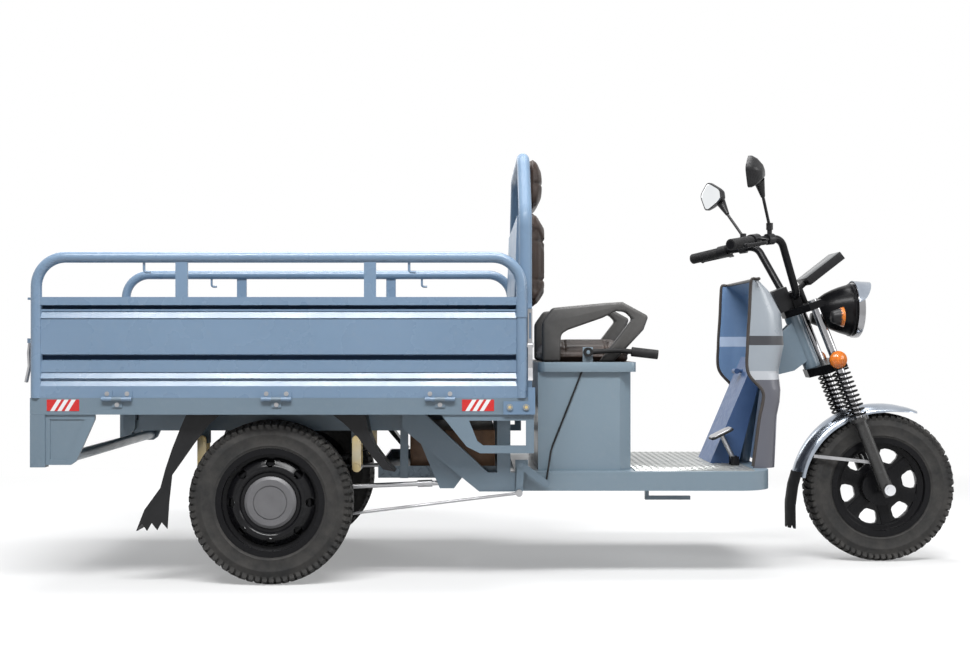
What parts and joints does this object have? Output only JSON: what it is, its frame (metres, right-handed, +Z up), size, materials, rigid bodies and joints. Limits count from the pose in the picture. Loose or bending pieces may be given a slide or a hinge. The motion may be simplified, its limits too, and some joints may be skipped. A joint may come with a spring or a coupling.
{
  "type": "electric cargo tricycle",
  "caption": "Electric cargo tricycle with a tipping drop-sided bed, seat box with backrest, leg shield and raked sprung front fork.",
  "frame": {"origin": "on the ground below the middle of the overall length and width", "axes": "+X forwards, +Y to the rider's left, +Z up"},
  "size_m": [2.9849, 1.067, 1.3399],
  "materials": {
    "bed_paint": "satin",
    "frame_paint": "satin",
    "black_paint": "gloss",
    "tyre_rubber": "matte",
    "black_rubber": "matte",
    "chrome": "polished",
    "leather": "grained",
    "battery_case": "matte",
    "zinc": "plated",
    "tread": "pressed",
    "blue_plastic": "satin",
    "silver_plastic": "gloss",
    "grey_plastic": "matte",
    "cap_grey": "gloss",
    "black_plastic": "matte",
    "amber": "gloss",
    "cast_alloy": "cast",
    "steel": "satin"
  },
  "bodies": {
    "chassis": {"chassis_rails": "frame_paint", "platform": "frame_paint", "tread_plate": "tread", "head_frame": "frame_paint", "seat_box": "frame_paint", "seat_base": "blue_plastic", "seat_cushion": "leather", "armrests": "grey_plastic", "battery_tray": "tread", "battery_pack": "battery_case", "leg_shield": "silver_plastic", "knee_panel": "blue_plastic", "mudguards": "black_plastic", "spring_shackles": "zinc", "leaf_springs": "steel"},
    "rear_axle": {"axle_housing": "black_paint", "drive_motor": "cast_alloy"},
    "rear_wheel_right": {"rear_rim_right": "black_paint", "hub_cap_right": "cap_grey", "rear_tyre_right": "tyre_rubber"},
    "rear_wheel_left": {"rear_rim_left": "black_paint", "hub_cap_left": "cap_grey", "rear_tyre_left": "tyre_rubber"},
    "thrust_rods": {"thrust_rods": "steel"},
    "bell_crank": {"bell_crank": "steel"},
    "brake_rod": {"brake_rod": "steel"},
    "hand_brake_cable": {"hand_brake_cable": "black_rubber"},
    "hand_brake_lever": {"hand_brake_lever": "black_plastic"},
    "brake_pedal": {"brake_pedal": "steel"},
    "cargo_bed": {"bed_frame": "bed_paint", "bulkhead": "bed_paint", "backrest_hoop": "bed_paint", "back_cushion": "leather", "headrest": "leather", "bed_guards": "bed_paint", "latch_fittings": "chrome"},
    "side_gate_right": {"side_gate_right": "bed_paint"},
    "side_gate_left": {"side_gate_left": "bed_paint"},
    "tailgate": {"tailgate": "bed_paint"},
    "latch_front_right": {"latch_lever_front_right": "steel"},
    "latch_front_left": {"latch_lever_front_left": "steel"},
    "latch_rear_right": {"latch_lever_rear_right": "steel"},
    "latch_rear_left": {"latch_lever_rear_left": "steel"},
    "steering": {"steering_head": "black_paint", "fork_tubes": "chrome", "fork_springs": "black_paint", "handlebar": "black_paint", "headlight": "black_plastic", "indicators": "amber", "dash": "black_plastic", "hand_controls": "black_plastic"},
    "throttle_grip": {"throttle_grip": "black_rubber"},
    "brake_lever_right": {"brake_lever_right": "black_paint"},
    "brake_lever_left": {"brake_lever_left": "black_paint"},
    "mirror_right": {"mirror_right": "black_plastic"},
    "mirror_left": {"mirror_left": "black_plastic"},
    "fork_lower": {"fork_legs": "black_paint", "front_fender": "silver_plastic"},
    "front_wheel": {"front_rim": "black_paint", "front_tyre": "tyre_rubber"}
  },
  "joints": [
    {"name": "bed_tip", "type": "hinge", "parent": "chassis", "child": "cargo_bed", "pos_m": [-1.21, 0, 0.473], "axis": [0, -1, 0], "range_deg": [0, 45]},
    {"name": "gate_right_hinge", "type": "hinge", "parent": "cargo_bed", "child": "side_gate_right", "pos_m": [-0.714, -0.527, 0.567], "axis": [1, 0, 0], "range_deg": [0, 170]},
    {"name": "gate_left_hinge", "type": "hinge", "parent": "cargo_bed", "child": "side_gate_left", "pos_m": [-0.714, 0.527, 0.567], "axis": [-1, 0, 0], "range_deg": [0, 170]},
    {"name": "tailgate_hinge", "type": "hinge", "parent": "cargo_bed", "child": "tailgate", "pos_m": [-1.466, 0, 0.567], "axis": [0, -1, 0], "range_deg": [0, 120]},
    {"name": "latch_front_right_pivot", "type": "hinge", "parent": "cargo_bed", "child": "latch_front_right", "pos_m": [0.041, -0.505, 0.729], "axis": [-1, 0, 0], "range_deg": [0, 110]},
    {"name": "latch_front_left_pivot", "type": "hinge", "parent": "cargo_bed", "child": "latch_front_left", "pos_m": [0.041, 0.505, 0.729], "axis": [1, 0, 0], "range_deg": [0, 110]},
    {"name": "latch_rear_right_pivot", "type": "hinge", "parent": "tailgate", "child": "latch_rear_right", "pos_m": [-1.475, -0.462, 0.742], "axis": [0, 1, 0], "range_deg": [0, 110]},
    {"name": "latch_rear_left_pivot", "type": "hinge", "parent": "tailgate", "child": "latch_rear_left", "pos_m": [-1.475, 0.462, 0.742], "axis": [0, 1, 0], "range_deg": [0, 110]},
    {"name": "axle_travel", "type": "slide", "parent": "chassis", "child": "rear_axle", "axis": [0, 0, 1], "range_m": [0, 0.018], "stiffness_N_per_m": 80000, "springref_m": -0.06, "deforming": ["leaf_springs"]},
    {"name": "thrust_rod_pivot", "type": "hinge", "parent": "chassis", "child": "thrust_rods", "pos_m": [-0.212, 0, 0.299], "axis": [0, 1, 0], "range_deg": [0, 2.2]},
    {"name": "rear_wheel_right_spin", "type": "hinge", "parent": "rear_axle", "child": "rear_wheel_right", "pos_m": [-0.747, -0.432, 0.25], "axis": [0, 1, 0], "continuous": true},
    {"name": "rear_wheel_left_spin", "type": "hinge", "parent": "rear_axle", "child": "rear_wheel_left", "pos_m": [-0.747, 0.432, 0.25], "axis": [0, 1, 0], "continuous": true},
    {"name": "foot_brake", "type": "hinge", "parent": "chassis", "child": "brake_pedal", "pos_m": [0.722, -0.168, 0.353], "axis": [0, 1, 0], "range_deg": [0, 18], "stiffness_Nm_per_rad": 20, "springref_deg": -17.19},
    {"name": "hand_brake", "type": "hinge", "parent": "chassis", "child": "hand_brake_lever", "pos_m": [0.234, -0.293, 0.706], "axis": [0, -1, 0], "range_deg": [0, 40]},
    {"name": "crank_pivot", "type": "hinge", "parent": "chassis", "child": "bell_crank", "pos_m": [0.017, -0.396, 0.358], "axis": [0, -1, 0], "range_deg": [0, 10]},
    {"name": "brake_rod_slide", "type": "slide", "parent": "chassis", "child": "brake_rod", "axis": [0.9867, -0.0955, 0.1319], "range_m": [0, 0.015]},
    {"name": "brake_cable_slide", "type": "slide", "parent": "chassis", "child": "hand_brake_cable", "axis": [0.3674, 0, 0.9301], "range_m": [0, 0.017]},
    {"name": "steering_turn", "type": "hinge", "parent": "chassis", "child": "steering", "pos_m": [0.98746, 0, 0.74047], "axis": [-0.3665, 0, 0.9304], "range_deg": [-38, 38]},
    {"name": "fork_travel", "type": "slide", "parent": "steering", "child": "fork_lower", "axis": [-0.3665, 0, 0.9304], "range_m": [0, 0.04], "stiffness_N_per_m": 25000, "springref_m": -0.08, "deforming": ["fork_springs"]},
    {"name": "front_wheel_spin", "type": "hinge", "parent": "fork_lower", "child": "front_wheel", "pos_m": [1.243, 0, 0.25], "axis": [0, 1, 0], "continuous": true},
    {"name": "throttle_twist", "type": "hinge", "parent": "steering", "child": "throttle_grip", "pos_m": [0.787, -0.23, 1.066], "axis": [-0.6784, -0.7204, -0.1441], "range_deg": [0, 70], "stiffness_Nm_per_rad": 0.5, "springref_deg": -17.19},
    {"name": "brake_lever_right_pivot", "type": "hinge", "parent": "steering", "child": "brake_lever_right", "pos_m": [0.79875, -0.27534, 1.05693], "axis": [0, 0.1961, -0.9806], "range_deg": [0, 8], "stiffness_Nm_per_rad": 2, "springref_deg": -17.19},
    {"name": "brake_lever_left_pivot", "type": "hinge", "parent": "steering", "child": "brake_lever_left", "pos_m": [0.79875, 0.27534, 1.05693], "axis": [0, 0.1961, 0.9806], "range_deg": [0, 8], "stiffness_Nm_per_rad": 2, "springref_deg": -17.19},
    {"name": "mirror_right_swivel", "type": "hinge", "parent": "steering", "child": "mirror_right", "pos_m": [0.8295, -0.205, 1.071], "axis": [0, 0, 1], "range_deg": [-25, 25]},
    {"name": "mirror_left_swivel", "type": "hinge", "parent": "steering", "child": "mirror_left", "pos_m": [0.8295, 0.205, 1.071], "axis": [0, 0, 1], "range_deg": [-25, 25]}
  ],
  "couplings": [
    {"joint": "thrust_rod_pivot", "follows": "axle_travel", "rad_per_m": 2.05},
    {"joint": "crank_pivot", "follows": "hand_brake", "ratio": 0.25},
    {"joint": "brake_rod_slide", "follows": "hand_brake", "m_per_rad": 0.0214},
    {"joint": "brake_cable_slide", "follows": "hand_brake", "m_per_rad": 0.0243}
  ]
}
